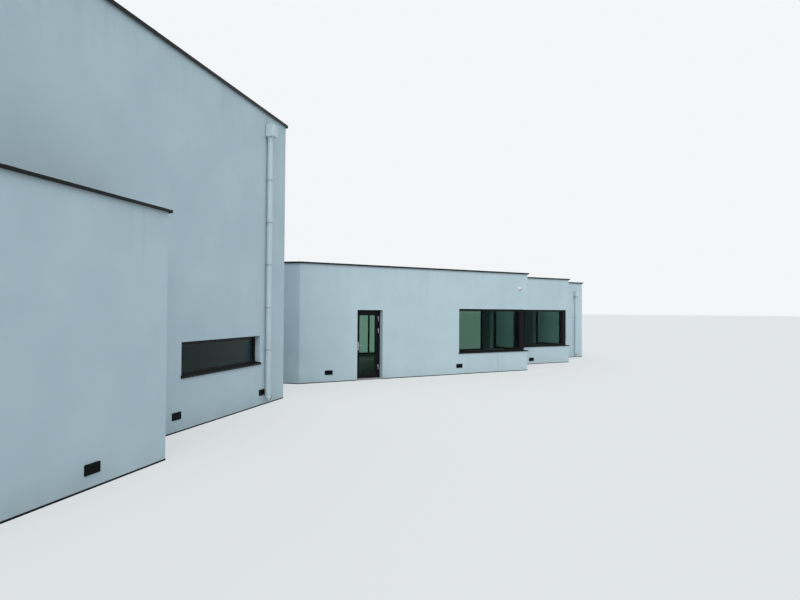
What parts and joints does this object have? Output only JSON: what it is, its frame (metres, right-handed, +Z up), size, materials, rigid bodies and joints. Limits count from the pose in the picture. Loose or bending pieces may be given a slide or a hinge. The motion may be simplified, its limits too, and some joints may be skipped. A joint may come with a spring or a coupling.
{
  "type": "detached house",
  "caption": "Modern flat-roofed rendered house: a two-storey block at an angle to a low stepped garden wing with corner windows and an outward-opening glazed door.",
  "frame": {"origin": "on the ground, under the middle of the whole house's bounding box", "axes": "+X along the garden wing's front wall, +Y from the garden into the wing, +Z up; the main block's front is turned 45 degrees from +X"},
  "size_m": [30.978, 19.6182, 6.572],
  "materials": {
    "render": "fine trowelled render, matt",
    "screed": "smooth screed",
    "roof_membrane": "matt membrane",
    "ceiling_plaster": "matt plaster",
    "coping_metal": "satin powder coat",
    "frame_metal": "satin powder coat",
    "sill_metal": "satin powder coat",
    "window_glass": "clear double glazing",
    "pipe_metal": "satin paint",
    "bright_metal": "brushed",
    "vent_plastic": "matt",
    "white_plastic": "satin"
  },
  "bodies": {
    "house": {"back_window_frames": "frame_metal", "back_window_glass": "window_glass", "back_window_sills": "sill_metal", "bay_coping": "coping_metal", "bay_floor": "screed", "bay_front_wall": "render", "bay_left_wall": "render", "bay_right_wall": "render", "bay_roof": "roof_membrane", "corner_window_1_frame": "frame_metal", "corner_window_1_glass": "window_glass", "corner_window_1_sill": "sill_metal", "corner_window_2_frame": "frame_metal", "corner_window_2_glass": "window_glass", "corner_window_2_sill": "sill_metal", "door_frame": "frame_metal", "door_lintel_wall": "render", "door_threshold": "screed", "downpipes": "pipe_metal", "frame_hinges": "bright_metal", "link_back_wall": "render", "link_front_wall": "render", "main_back_wall": "render", "main_coping": "coping_metal", "main_end_wall": "render", "main_far_wall": "render", "main_front_wall": "render", "main_ground_floor": "screed", "main_roof": "roof_membrane", "main_upper_floor": "ceiling_plaster", "pipe_brackets": "pipe_metal", "rain_hoppers": "pipe_metal", "slit_window_frame": "frame_metal", "slit_window_glass": "window_glass", "slit_window_sill": "sill_metal", "splay_wall": "render", "step_return_wall_1": "render", "step_return_wall_2": "render", "vent_grilles": "vent_plastic", "wall_camera": "white_plastic", "wing_back_wall": "render", "wing_coping": "coping_metal", "wing_end_wall": "render", "wing_floor": "screed", "wing_front_wall_2": "render", "wing_front_wall_3": "render", "wing_front_wall_left": "render", "wing_front_wall_right": "render", "wing_roof": "roof_membrane"},
    "door": {"door_leaf": "frame_metal", "door_glass": "window_glass", "door_handles": "bright_metal", "leaf_hinges": "bright_metal"}
  },
  "joints": [
    {"name": "door_hinge", "type": "hinge", "parent": "house", "child": "door", "pos_m": [2.47097, 1.72509, 1], "axis": [0, 0, 1], "range_deg": [0, 90]}
  ]
}
